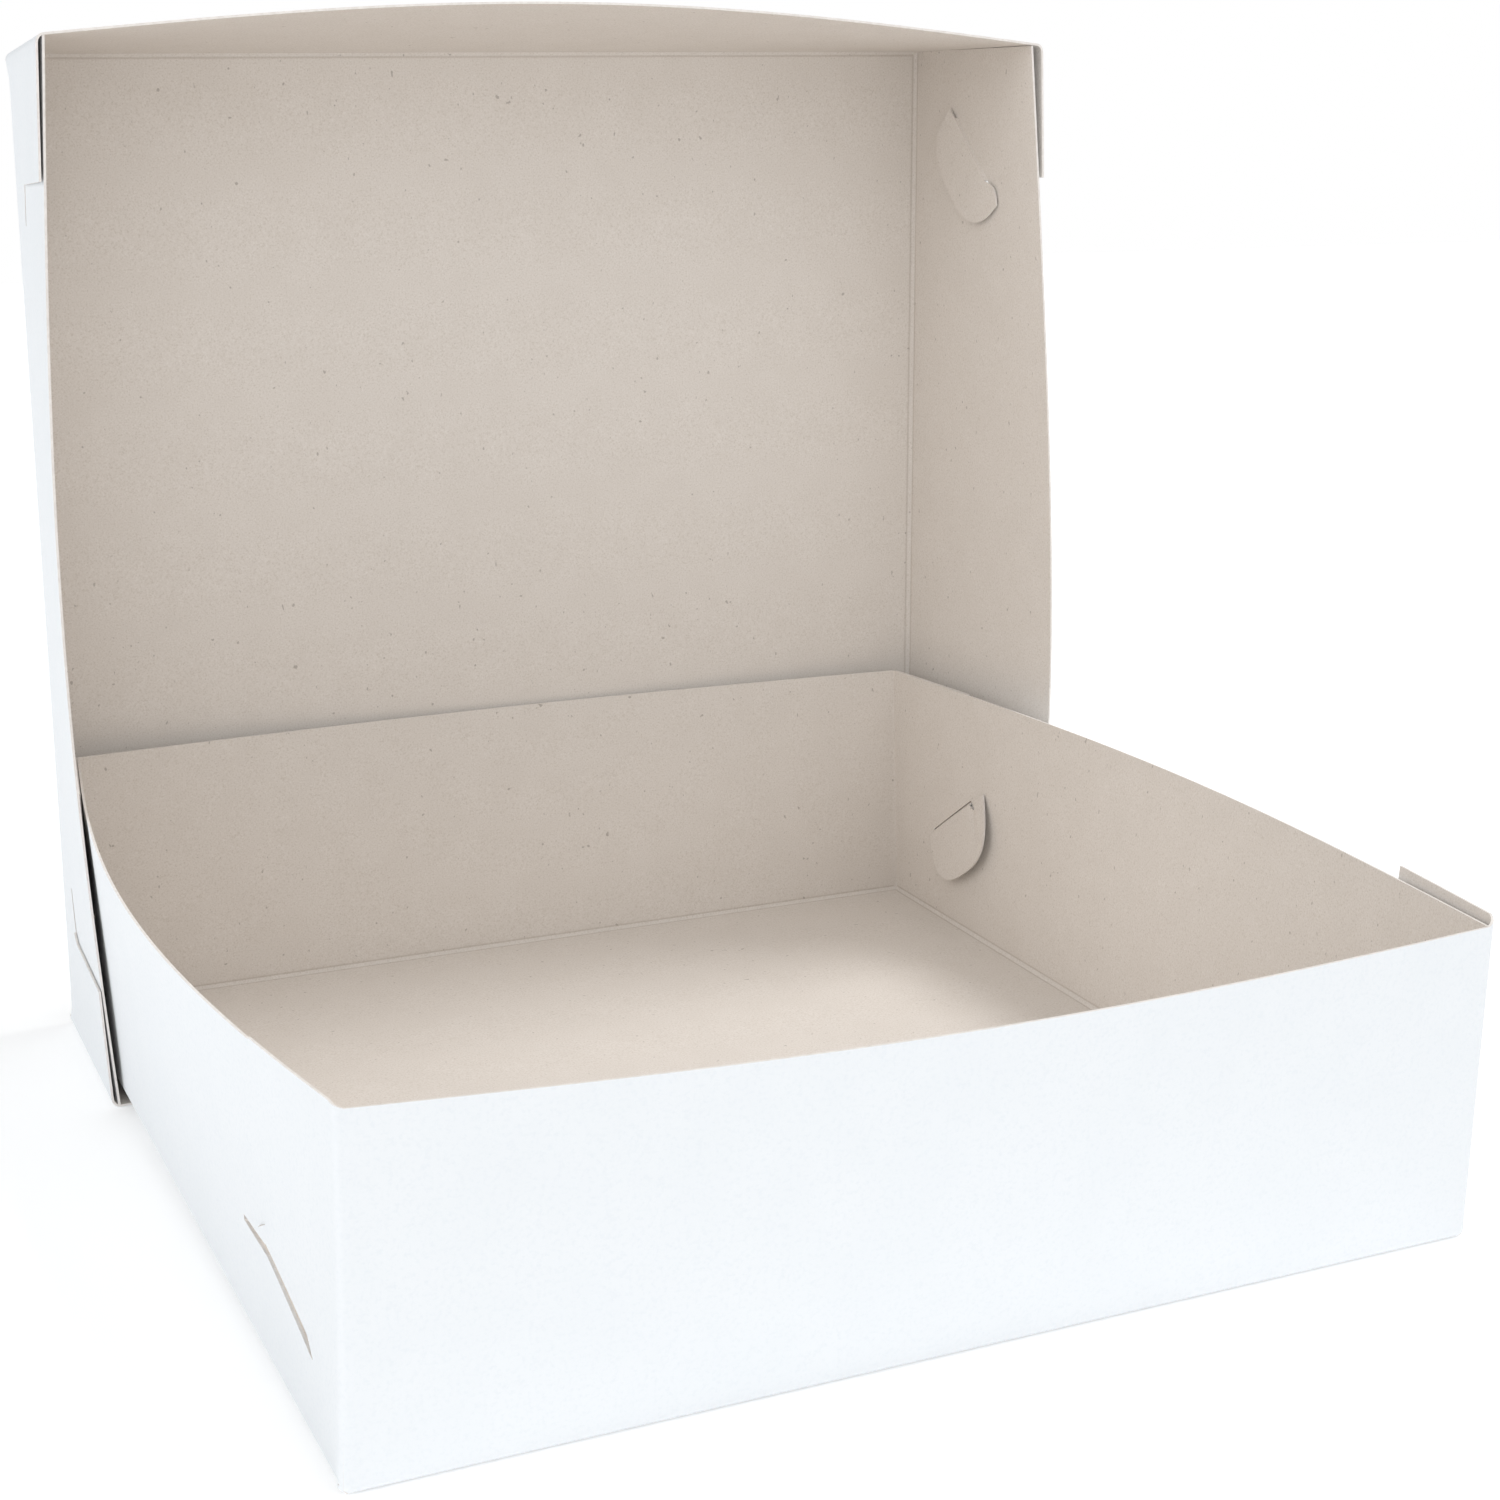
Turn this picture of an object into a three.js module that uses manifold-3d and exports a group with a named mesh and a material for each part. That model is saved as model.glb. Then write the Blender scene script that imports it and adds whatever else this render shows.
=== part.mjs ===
// A white pastry box of two folded card trays, in millimetres: +X right, +Y back, +Z up.
// The base tray lies on its floor with its front fold on the ground.
// The lid tray stands on its lower wall behind it, open side to the front, and its side
// walls clip round the back end of the base, which they hold a little off the ground.
// Each tray is one sheet of board. Its long walls end in ears that wrap the corners on the
// outside. A hook on each ear passes through a slanted slit and locks inside the side wall.

import * as THREE from 'three';
import { mergeVertices } from 'three/addons/utils/BufferGeometryUtils.js';
import Module from 'manifold-3d';

const wasm = await Module();
wasm.setup();

// Board
const BOARD = 0.5;
const CLEARANCE = 0.3;
const FOLD_RADIUS = 1.2;

// Base tray, outside
const BASE_WIDTH = 228.6;
const BASE_DEPTH = 228.6;
const BASE_HEIGHT = 63.5;

// Lid tray, outside, as it would lie on its panel
const LID_WIDTH = 233.7;
const LID_DEPTH = 231;
const LID_HEIGHT = 58;

// Pose of the two trays
const BASE_TILT = THREE.MathUtils.degToRad(1);
const LID_LEAN = THREE.MathUtils.degToRad(0.9);
const LID_SHIFT = 1.25;
const PANEL_GAP = 1.6;

// Corner locks, measured along the side wall from its corner and up from its fold
const EAR_LENGTH = 31.5;
const EAR_FOOT = 2.2;
const EAR_SHOULDER = 43;
const SLIT_START = new THREE.Vector2(21, 23);
const SLIT_LENGTH = 21;
const SLIT_ANGLE = THREE.MathUtils.degToRad(37);
const HOOK_OVERHANG = 3.8;
const HOOK_LENGTH = 31.6;
const HOOK_DEPTH = 16;
const HOOK_GAP = 0.6;

// Free edge of each wall: how far it stands out of square at its left or front end and at
// its other end, how far it bows out between them, and where along the wall the bow peaks.
const BASE_WALLS = {
  front: { start: -5, end: -1.4, bow: 9, peak: 0.5 },
  back: { start: -2.6, end: -0.8, bow: 4.5, peak: 0.5 },
  left: { start: -4, end: -3.3, bow: 12.2, peak: 0.48 },
  right: { start: 0.3, end: -3.8, bow: 9, peak: 0.5 },
};
const LID_WALLS = {
  front: { start: LID_HEIGHT * Math.tan(LID_LEAN), end: LID_HEIGHT * Math.tan(LID_LEAN), bow: 0, peak: 0.5 },
  back: { start: 0.4, end: 0.4, bow: 7.7, peak: 0.5 },
  left: { start: 0.5, end: 1.7, bow: 5, peak: 0.3 },
  right: { start: 2, end: -1.1, bow: 8, peak: 0.35 },
};
const BOW_RISE = 1.4;

// How far the free end of each ear springs off its wall at the top
const BASE_FLARE = { front: { left: 0.2, right: 3.4 }, back: { left: 0, right: 0.2 } };
const LID_FLARE = { front: { left: 0.2, right: 0.2 }, back: { left: 0.8, right: 1.6 } };

// Fineness of the curved sheets
const WALL_COLUMNS = 16;
const WALL_ROWS = 6;
const EAR_COLUMNS = 5;
const CORNER_COLUMNS = 3;
const FOLD_ROWS = 3;
const HOOK_POINTS = 16;

// Lengths that only need to be ample
const FOLD_LAP = 1;
const CUT_REACH = 30;

const WALL_OF_END = { '-1': 'front', 1: 'back' };
const WALL_OF_SIDE = { '-1': 'left', 1: 'right' };

const SLIT_DIRECTION = new THREE.Vector2(Math.cos(SLIT_ANGLE), Math.sin(SLIT_ANGLE));
const HOOK_DIRECTION = new THREE.Vector2(Math.sin(SLIT_ANGLE), -Math.cos(SLIT_ANGLE));
const SLIT_END = SLIT_START.clone().addScaledVector(SLIT_DIRECTION, SLIT_LENGTH);

// How far a wall's surface stands out of square, at a share of its length and of its height
function wallOffset(wall, along, up) {
  const bowPlace = along ** (Math.log(0.5) / Math.log(wall.peak));
  const bow = wall.bow * Math.sin(Math.PI * bowPlace) * up ** BOW_RISE;
  return THREE.MathUtils.lerp(wall.start, wall.end, along) * up + bow;
}

function shareOf(value, length) {
  return THREE.MathUtils.clamp(value / length + 0.5, 0, 1);
}

// Distance of a side wall's outer face from the tray's middle plane
function sideFace(tray, side, y, z) {
  const wall = tray.walls[WALL_OF_SIDE[side]];
  return tray.width / 2 + wallOffset(wall, shareOf(y, tray.depth), z / tray.height);
}

// Distance of an end wall's outer face from the tray's middle plane
function endFace(tray, end, x, z) {
  const wall = tray.walls[WALL_OF_END[end]];
  return tray.depth / 2 + wallOffset(wall, shareOf(x, tray.width), z / tray.height);
}

function flareAt(tray, side, end, reach, z) {
  const flare = tray.flare[WALL_OF_END[end]][WALL_OF_SIDE[side]];
  return flare * (reach / EAR_LENGTH) * (z / tray.height);
}

// Outer face of an ear, at a distance from the end wall's face
function earFace(tray, side, end, reach, z) {
  const y = end * (endFace(tray, end, side * tray.width / 2, z) - reach);
  return sideFace(tray, side, y, z) + CLEARANCE + BOARD + flareAt(tray, side, end, reach, z);
}

// Rows of a wall's section: the fold from the floor, then the straight height
function foldRows() {
  const rows = [{ inset: FOLD_RADIUS + FOLD_LAP, z: 0 }];
  for (let step = 0; step < FOLD_ROWS; step += 1) {
    const angle = (Math.PI / 2) * (step / FOLD_ROWS);
    rows.push({ inset: FOLD_RADIUS * (1 - Math.sin(angle)), z: FOLD_RADIUS * (1 - Math.cos(angle)) });
  }
  return rows;
}

function uprightRows(height) {
  const rows = [];
  for (let step = 0; step <= WALL_ROWS; step += 1) {
    rows.push({ inset: 0, z: THREE.MathUtils.lerp(FOLD_RADIUS, height, step / WALL_ROWS) });
  }
  return rows;
}

// Direction of a grid line at a point, halfway between its two neighbouring stretches
function lineDirection(before, point, after) {
  const arriving = point.clone().sub(before ?? point).normalize();
  const leaving = (after ?? point).clone().sub(point).normalize();
  return arriving.add(leaving);
}

// The inner grid lies one board's thickness behind the outer one, flat on the floor panel
function innerGrid(outer) {
  return outer.map((row, r) => row.map((point, c) => {
    if (point === null) {
      return null;
    }
    if (point.z === 0) {
      return point.clone().setZ(BOARD);
    }
    const along = lineDirection(row[c - 1], point, row[c + 1]);
    const up = lineDirection(outer[r - 1]?.[c], point, outer[r + 1]?.[c]);
    return point.clone().addScaledVector(along.cross(up).normalize(), -BOARD);
  }));
}

function solidFrom(points, triangles) {
  const mesh = new wasm.Mesh({
    numProp: 3,
    vertProperties: Float32Array.from(points.flatMap((point) => point.toArray())),
    triVerts: Uint32Array.from(triangles),
  });
  return new wasm.Manifold(mesh);
}

// A closed sheet between an outer and an inner grid, over a range of rows and columns
function sheetSolid(outer, inner, firstRow, lastRow, firstColumn, lastColumn) {
  const cut = (grid) => grid.slice(firstRow, lastRow + 1).map((row) => row.slice(firstColumn, lastColumn + 1));
  const faces = cut(outer);
  const backs = cut(inner);
  const rows = faces.length;
  const columns = faces[0].length;
  const face = (r, c) => r * columns + c;
  const back = (r, c) => rows * columns + r * columns + c;
  const triangles = [];
  const quad = (a, b, c, d) => triangles.push(a, b, c, a, c, d);
  for (let r = 0; r < rows - 1; r += 1) {
    for (let c = 0; c < columns - 1; c += 1) {
      quad(face(r, c), face(r, c + 1), face(r + 1, c + 1), face(r + 1, c));
      quad(back(r, c), back(r + 1, c), back(r + 1, c + 1), back(r, c + 1));
    }
    const last = columns - 1;
    quad(face(r + 1, 0), back(r + 1, 0), back(r, 0), face(r, 0));
    quad(back(r, last), back(r + 1, last), face(r + 1, last), face(r, last));
  }
  for (let c = 0; c < columns - 1; c += 1) {
    const last = rows - 1;
    quad(back(0, c), back(0, c + 1), face(0, c + 1), face(0, c));
    quad(face(last, c), face(last, c + 1), back(last, c + 1), back(last, c));
  }
  return solidFrom([...faces.flat(), ...backs.flat()], triangles);
}

// A prism across a side wall, from an outline drawn along the wall from its corner and up
function cornerPrism(tray, side, end, outline, nearFace, farFace) {
  const geometry = new THREE.ExtrudeGeometry(outline, { depth: 1, bevelEnabled: false });
  geometry.deleteAttribute('normal');
  geometry.deleteAttribute('uv');
  const merged = mergeVertices(geometry);
  const positions = merged.getAttribute('position');
  const points = [];
  for (let i = 0; i < positions.count; i += 1) {
    const reach = positions.getX(i);
    const z = positions.getY(i);
    const y = end * (tray.depth / 2 - reach);
    const x = THREE.MathUtils.lerp(nearFace(reach, y, z), farFace(reach, y, z), positions.getZ(i));
    points.push(new THREE.Vector3(side * x, y, z));
  }
  const triangles = Array.from(merged.index.array);
  const mirrored = side * end > 0;
  return solidFrom(points, mirrored ? triangles.reverse() : triangles);
}

// A point of the lock, along the slit from its start and out from it towards the hook
function slitPoint(along, out) {
  const place = SLIT_START.clone().addScaledVector(SLIT_DIRECTION, along);
  return place.addScaledVector(HOOK_DIRECTION, out);
}

function slitOutline(width, margin) {
  return new THREE.Shape([
    slitPoint(-margin, -width / 2),
    slitPoint(-margin, width / 2),
    slitPoint(SLIT_LENGTH + margin, width / 2),
    slitPoint(SLIT_LENGTH + margin, -width / 2),
  ]);
}

// Half an oval hanging from the slit, with a barb past each end of it
function hookOutline() {
  const points = [];
  for (let step = 0; step <= HOOK_POINTS; step += 1) {
    const angle = Math.PI * (step / HOOK_POINTS);
    const along = HOOK_LENGTH / 2 - HOOK_OVERHANG - (HOOK_LENGTH / 2) * Math.cos(angle);
    points.push(slitPoint(along, HOOK_DEPTH * Math.sin(angle) - BOARD));
  }
  return new THREE.Shape(points);
}

// The ear tapers from its free end to the slit, and from there to the foot of the corner
function earOutline(height) {
  const lowStart = slitPoint(0, BOARD);
  const lowEnd = slitPoint(SLIT_LENGTH, BOARD);
  return new THREE.Shape([
    new THREE.Vector2(-CUT_REACH, EAR_FOOT),
    new THREE.Vector2(EAR_FOOT, EAR_FOOT),
    lowStart,
    lowEnd,
    slitPoint(SLIT_LENGTH, -BOARD),
    new THREE.Vector2(EAR_LENGTH, EAR_SHOULDER),
    new THREE.Vector2(EAR_LENGTH, height + CUT_REACH),
    new THREE.Vector2(-CUT_REACH, height + CUT_REACH),
  ]);
}

// Front or back wall with its fold and both ears
function endWall(tray, end) {
  const folds = foldRows();
  const rows = [...folds, ...uprightRows(tray.height)];
  const columns = [];
  for (const side of [-1, 1]) {
    const ear = [];
    for (let step = 0; step <= EAR_COLUMNS; step += 1) {
      const reach = THREE.MathUtils.lerp(SLIT_END.x + BOARD, FOLD_RADIUS, step / EAR_COLUMNS);
      ear.push({ side, reach });
    }
    for (let step = 1; step < CORNER_COLUMNS; step += 1) {
      ear.push({ side, turn: (Math.PI / 2) * (step / CORNER_COLUMNS) });
    }
    columns.push(ear);
  }
  const wall = [];
  for (let step = 0; step <= WALL_COLUMNS; step += 1) {
    wall.push({ share: step / WALL_COLUMNS });
  }
  const path = [...columns[0], ...wall, ...columns[1].reverse()];
  const outer = rows.map(({ inset, z }) => path.map((column) => {
    if (column.share === undefined && z < FOLD_RADIUS) {
      return null;
    }
    if (column.reach !== undefined) {
      const face = endFace(tray, end, column.side * tray.width / 2, z);
      const x = column.side * earFace(tray, column.side, end, column.reach, z);
      return new THREE.Vector3(x, end * (face - column.reach), z);
    }
    if (column.turn !== undefined) {
      const face = endFace(tray, end, column.side * tray.width / 2, z);
      const centreX = earFace(tray, column.side, end, FOLD_RADIUS, z) - FOLD_RADIUS;
      const x = column.side * (centreX + FOLD_RADIUS * Math.cos(column.turn));
      const y = end * (face - FOLD_RADIUS + FOLD_RADIUS * Math.sin(column.turn));
      return new THREE.Vector3(x, y, z);
    }
    const left = FOLD_RADIUS - earFace(tray, -1, end, FOLD_RADIUS, z);
    const right = earFace(tray, 1, end, FOLD_RADIUS, z) - FOLD_RADIUS;
    const x = THREE.MathUtils.lerp(left, right, column.share);
    const along = THREE.MathUtils.lerp(-tray.width / 2, tray.width / 2, column.share);
    return new THREE.Vector3(x, end * (endFace(tray, end, along, z) - inset), z);
  }));
  if (end > 0) {
    outer.forEach((row) => row.reverse());
  }
  const inner = innerGrid(outer);
  const lastRow = rows.length - 1;
  const lastColumn = path.length - 1;
  const earColumns = columns[0].length;
  let solid = sheetSolid(outer, inner, 0, lastRow, earColumns, lastColumn - earColumns);
  const spans = [[0, earColumns], [lastColumn - earColumns, lastColumn]];
  for (const [first, last] of spans) {
    const side = Math.sign(outer[lastRow][first === 0 ? 0 : last].x);
    const ear = sheetSolid(outer, inner, folds.length, lastRow, first, last);
    const reach = () => tray.width / 2 + CUT_REACH;
    const middle = () => tray.width / 2 - CUT_REACH;
    const outline = cornerPrism(tray, side, end, earOutline(tray.height), middle, reach);
    solid = solid.add(ear.intersect(outline));
  }
  return solid;
}

// Left or right wall with its fold and the two slits
function sideWall(tray, side) {
  const rows = [...foldRows(), ...uprightRows(tray.height)];
  const cornerX = side * tray.width / 2;
  const outer = rows.map(({ inset, z }) => {
    const points = [];
    const front = BOARD + CLEARANCE - endFace(tray, -1, cornerX, z);
    const rear = endFace(tray, 1, cornerX, z) - BOARD - CLEARANCE;
    for (let step = 0; step <= WALL_COLUMNS; step += 1) {
      const y = THREE.MathUtils.lerp(front, rear, step / WALL_COLUMNS);
      points.push(new THREE.Vector3(side * (sideFace(tray, side, y, z) - inset), y, z));
    }
    return side > 0 ? points : points.reverse();
  });
  let solid = sheetSolid(outer, innerGrid(outer), 0, rows.length - 1, 0, WALL_COLUMNS);
  const slit = slitOutline(BOARD + 2 * CLEARANCE, CLEARANCE);
  const inside = () => tray.width / 2 - CUT_REACH;
  const outside = () => tray.width / 2 + CUT_REACH;
  for (const end of [-1, 1]) {
    solid = solid.subtract(cornerPrism(tray, side, end, slit, inside, outside));
  }
  return solid;
}

// The neck that passes through a slit and the hook that it carries inside the wall
function cornerLock(tray, side, end) {
  const hookMiddle = BOARD + HOOK_GAP + BOARD / 2;
  const inFace = (reach, y, z) => sideFace(tray, side, y, z) - hookMiddle;
  const outFace = (reach, y, z) => earFace(tray, side, end, reach, z) - BOARD / 2;
  const neck = cornerPrism(tray, side, end, slitOutline(BOARD, -CLEARANCE), inFace, outFace);
  const hookBack = (reach, y, z) => inFace(reach, y, z) - BOARD / 2;
  const hookFront = (reach, y, z) => inFace(reach, y, z) + BOARD / 2;
  const hook = cornerPrism(tray, side, end, hookOutline(), hookBack, hookFront);
  return neck.add(hook);
}

function floorPanel(tray) {
  const lap = 2 * FOLD_RADIUS + FOLD_LAP;
  const geometry = new THREE.BoxGeometry(tray.width - lap, tray.depth - lap, BOARD);
  geometry.translate(0, 0, BOARD / 2);
  geometry.deleteAttribute('normal');
  geometry.deleteAttribute('uv');
  const merged = mergeVertices(geometry);
  const positions = merged.getAttribute('position');
  const points = [];
  for (let i = 0; i < positions.count; i += 1) {
    points.push(new THREE.Vector3().fromBufferAttribute(positions, i));
  }
  return solidFrom(points, Array.from(merged.index.array));
}

function trayMesh(tray) {
  let solid = floorPanel(tray);
  for (const end of [-1, 1]) {
    solid = solid.add(endWall(tray, end));
  }
  for (const side of [-1, 1]) {
    solid = solid.add(sideWall(tray, side));
    for (const end of [-1, 1]) {
      solid = solid.add(cornerLock(tray, side, end));
    }
  }
  const { vertProperties, triVerts } = solid.getMesh();
  const geometry = new THREE.BufferGeometry();
  geometry.setAttribute('position', new THREE.BufferAttribute(vertProperties, 3));
  geometry.setIndex(new THREE.BufferAttribute(triVerts, 1));
  geometry.computeVertexNormals();
  const mesh = new THREE.Mesh(geometry, tray.material);
  mesh.name = tray.name;
  return mesh;
}

const coatedBoard = new THREE.MeshStandardMaterial({ color: '#eef2f5', roughness: 0.55, metalness: 0 });
const greyBoard = new THREE.MeshStandardMaterial({ color: '#cfc5bb', roughness: 0.9, metalness: 0 });

const baseTray = trayMesh({
  name: 'base_tray',
  width: BASE_WIDTH,
  depth: BASE_DEPTH,
  height: BASE_HEIGHT,
  walls: BASE_WALLS,
  flare: BASE_FLARE,
  material: coatedBoard,
});
baseTray.rotation.x = BASE_TILT;
baseTray.position.y = (BASE_DEPTH / 2) * Math.cos(BASE_TILT);
baseTray.position.z = (BASE_DEPTH / 2) * Math.sin(BASE_TILT);

const lidTray = trayMesh({
  name: 'lid_tray',
  width: LID_WIDTH,
  depth: LID_DEPTH,
  height: LID_HEIGHT,
  walls: LID_WALLS,
  flare: LID_FLARE,
  material: greyBoard,
});
lidTray.rotation.x = Math.PI / 2 - LID_LEAN;
lidTray.position.x = LID_SHIFT;
lidTray.position.y = BASE_DEPTH + PANEL_GAP + BOARD + (LID_DEPTH / 2) * Math.sin(LID_LEAN);
lidTray.position.z = (LID_DEPTH / 2) * Math.cos(LID_LEAN);

const pastryBox = new THREE.Group();
pastryBox.name = 'pastry_box';
pastryBox.add(baseTray, lidTray);

// The origin is the middle of the foot of the box that holds the whole part
const bounds = new THREE.Box3().setFromObject(pastryBox, true);
const middle = bounds.getCenter(new THREE.Vector3());
pastryBox.position.set(-middle.x, -middle.y, -bounds.min.z);

export default pastryBox;
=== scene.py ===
"""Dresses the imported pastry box: two folded card trays, studio light and camera."""

import logging
import math
from collections.abc import Callable
from dataclasses import dataclass, field, replace
from enum import Enum

import bpy
from mathutils import Euler, Matrix, Vector


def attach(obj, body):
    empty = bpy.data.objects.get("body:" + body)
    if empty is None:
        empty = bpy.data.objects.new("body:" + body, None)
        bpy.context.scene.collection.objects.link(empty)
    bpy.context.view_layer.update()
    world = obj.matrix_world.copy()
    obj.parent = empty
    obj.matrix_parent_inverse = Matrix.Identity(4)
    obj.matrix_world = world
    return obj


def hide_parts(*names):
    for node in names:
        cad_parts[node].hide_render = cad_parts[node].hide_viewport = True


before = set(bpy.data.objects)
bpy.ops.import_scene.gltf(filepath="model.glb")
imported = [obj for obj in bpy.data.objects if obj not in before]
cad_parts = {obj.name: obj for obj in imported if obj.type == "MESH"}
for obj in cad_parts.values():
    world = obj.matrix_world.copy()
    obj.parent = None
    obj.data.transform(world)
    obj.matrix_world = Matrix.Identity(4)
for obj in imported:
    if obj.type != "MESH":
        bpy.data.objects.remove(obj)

logging.basicConfig(level=logging.INFO, format="%(message)s")
LOG = logging.getLogger("pastry_box")

MM = 0.001
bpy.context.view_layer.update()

WHITE = (1.0, 1.0, 1.0, 1.0)

# The shine of board, and the bands of noise that the finishes blend over
SPECULAR = 0.2
SOFT_BAND = (0.35, 0.65)
WIDE_BAND = (0.3, 0.7)

# Where patches of board meet, points closer than this are one
SEAM = 0.02 * MM
# A wall's faces are cut along the edges of a hole as far as this past its corners
WINDOW_MARGIN = 6 * MM
# Among faces at one height this share of their distance picks the one nearest the middle
NEARER_SHARE = 1e-3
# Edges sharper than this stay sharp
SMOOTH_ANGLE = math.radians(38)
# Marks in millimetres: the width of a wall's column, and a place too far from a fold to score
COLUMN_MARK = 5.0
FAR_FROM_FOLD = 50.0

Colour = tuple[float, float, float]
Band = tuple[float, float]
Spot = tuple[float, float]
Place = Callable[[int, int], Vector]
Mark = Callable[[int, int], tuple[float, float]]


class End(Enum):
    """The two ends of a tray, with the direction that each faces along Y."""

    FRONT = -1
    BACK = 1


class Side(Enum):
    """The two sides of a tray, with the direction that each faces along X."""

    LEFT = -1
    RIGHT = 1


class Face(Enum):
    """The faces of the board, as indices of a sheet's material slots."""

    COATED = 0
    INNER = 1
    EDGE = 2


def lerp(start: float, end: float, share: float) -> float:
    """Returns the value at a share of the way from start to end."""
    return start + (end - start) * share


def deselect_all() -> None:
    """Leaves no object selected."""
    bpy.ops.object.select_all(action="DESELECT")


def make_active(piece: bpy.types.Object) -> None:
    """Selects one object alone and makes it active.

    Args:
        piece: The object.
    """
    deselect_all()
    piece.select_set(True)
    bpy.context.view_layer.objects.active = piece


# --- materials


class Socket:
    """A node's output that Python's operators turn into Math nodes."""

    def __init__(self, graph: "Graph", output: bpy.types.NodeSocket) -> None:
        """Keeps the socket and the graph that it belongs to."""
        self.graph = graph
        self.output = output

    def _math(self, operation: str, *values: "Socket | float") -> "Socket":
        """Adds a Math node.

        Args:
            operation: The Math node's operation.
            values: Its inputs in order, as sockets or numbers.

        Returns:
            The node's result.
        """
        inputs = dict(enumerate(values))
        return self.graph.node("ShaderNodeMath", {"operation": operation}, inputs)

    def __mul__(self, other: "Socket | float") -> "Socket":
        """Returns the product."""
        return self._math("MULTIPLY", self, other)

    def __sub__(self, other: "Socket | float") -> "Socket":
        """Returns this less the other."""
        return self._math("SUBTRACT", self, other)

    def __rsub__(self, other: "Socket | float") -> "Socket":
        """Returns the other less this."""
        return self._math("SUBTRACT", other, self)

    def size(self) -> "Socket":
        """Returns the absolute value."""
        return self._math("ABSOLUTE", self)

    def ramp(self, low: float, high: float, start: float = 0.0, end: float = 1.0) -> "Socket":
        """Maps a range smoothly to another, held at both ends.

        Args:
            low: Where the first range starts.
            high: Where it ends.
            start: The result at low and below.
            end: The result at high and above.

        Returns:
            The mapped value.
        """
        settings = {"interpolation_type": "SMOOTHSTEP"}
        inputs = {"Value": self, "From Min": low, "From Max": high, "To Min": start, "To Max": end}
        return self.graph.node("ShaderNodeMapRange", settings, inputs, "Result")


class Graph:
    """The node tree of one material."""

    def __init__(self, name: str) -> None:
        """Starts a material that holds only a Principled shader and its output.

        Args:
            name: The material's name.
        """
        self.material = bpy.data.materials.new(name)
        self.material.use_nodes = True
        self.tree = self.material.node_tree
        self.shader = self.tree.nodes["Principled BSDF"]

    def node(
        self,
        kind: str,
        settings: dict[str, object] | None = None,
        inputs: dict[str | int, object] | None = None,
        output: str | int = 0,
    ) -> Socket:
        """Adds a node.

        Args:
            kind: The node's type.
            settings: Properties of the node, set before its inputs.
            inputs: Values or sockets by the input's name or number.
            output: Which output to return.

        Returns:
            The chosen output, wrapped.
        """
        added = self.tree.nodes.new(kind)
        for name, value in (settings or {}).items():
            setattr(added, name, value)
        for name, value in (inputs or {}).items():
            self.feed(added.inputs[name], value)
        return Socket(self, added.outputs[output])

    def feed(self, target: bpy.types.NodeSocket, value: object) -> None:
        """Links or sets an input.

        Args:
            target: The input.
            value: A wrapped socket to link, or a plain value to set.
        """
        if isinstance(value, Socket):
            self.tree.links.new(value.output, target)
        else:
            target.default_value = value

    def shade(self, **values: object) -> None:
        """Feeds the shader's inputs, named with underscores for their spaces."""
        for name, value in values.items():
            self.feed(self.shader.inputs[name.replace("_", " ")], value)

    def place(self, scale: tuple[float, float, float] = (1, 1, 1)) -> Socket:
        """Returns the object's own coordinates in metres, stretched by a scale."""
        where = self.node("ShaderNodeTexCoord", output="Object")
        return self.node("ShaderNodeMapping", None, {"Vector": where, "Scale": scale})

    def noise(self, where: Socket, grain: float, detail: float = 2.0, rough: float = 0.5) -> Socket:
        """Adds noise.

        Args:
            where: Coordinates in metres.
            grain: Size of its patches in metres.
            detail: Octaves of finer noise.
            rough: How strong the finer octaves are.

        Returns:
            Values round a half.
        """
        inputs = {"Vector": where, "Scale": 1 / grain, "Detail": detail, "Roughness": rough}
        return self.node("ShaderNodeTexNoise", None, inputs, "Fac")

    def mix(self, share: Socket | float, start: object, end: object) -> Socket:
        """Blends two colours.

        Args:
            share: Share of the second colour.
            start: The first colour, as a socket or RGB.
            end: The second colour, as a socket or RGB.

        Returns:
            The blended colour.
        """
        colours = [one if isinstance(one, Socket) else (*one, 1.0) for one in (start, end)]
        settings = {"data_type": "RGBA"}
        inputs = {0: share, 6: colours[0], 7: colours[1]}
        return self.node("ShaderNodeMix", settings, inputs, 2)

    def bump(self, height: Socket, distance: float, under: Socket | None = None) -> Socket:
        """Adds relief.

        Args:
            height: The height, as a share of the distance.
            distance: How far a height of one stands up, in metres.
            under: The normal of a finer relief that this one lies on.

        Returns:
            The normal of the relief.
        """
        inputs = {"Height": height, "Distance": distance}
        if under is not None:
            inputs["Normal"] = under
        return self.node("ShaderNodeBump", None, inputs, "Normal")


@dataclass(frozen=True)
class CoatedWhite:
    """The clay-coated white outside of the board."""

    colour: Colour = (0.792, 0.818, 0.842)
    cloud: Colour = (0.783, 0.811, 0.836)
    fleck: Colour = (0.755, 0.788, 0.818)
    cloud_size: float = 14 * MM
    grain_size: float = 0.8 * MM
    fleck_band: Band = (0.45, 0.75)
    relief: float = 0.012 * MM
    roughness: Band = (0.56, 0.66)

    def material(self) -> bpy.types.Material:
        """Builds the finish.

        Returns:
            The material.
        """
        graph = Graph("coated_white")
        where = graph.place()
        cloud = graph.noise(where, self.cloud_size, detail=3.0)
        grain = graph.noise(where, self.grain_size, detail=3.0, rough=0.6)
        colour = graph.mix(cloud.ramp(*SOFT_BAND), self.colour, self.cloud)
        colour = graph.mix(grain.ramp(*self.fleck_band), colour, self.fleck)
        graph.shade(
            Base_Color=colour,
            Roughness=grain.ramp(*WIDE_BAND, *self.roughness),
            Normal=graph.bump(grain, self.relief),
            Specular_IOR_Level=SPECULAR,
        )
        return graph.material


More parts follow.
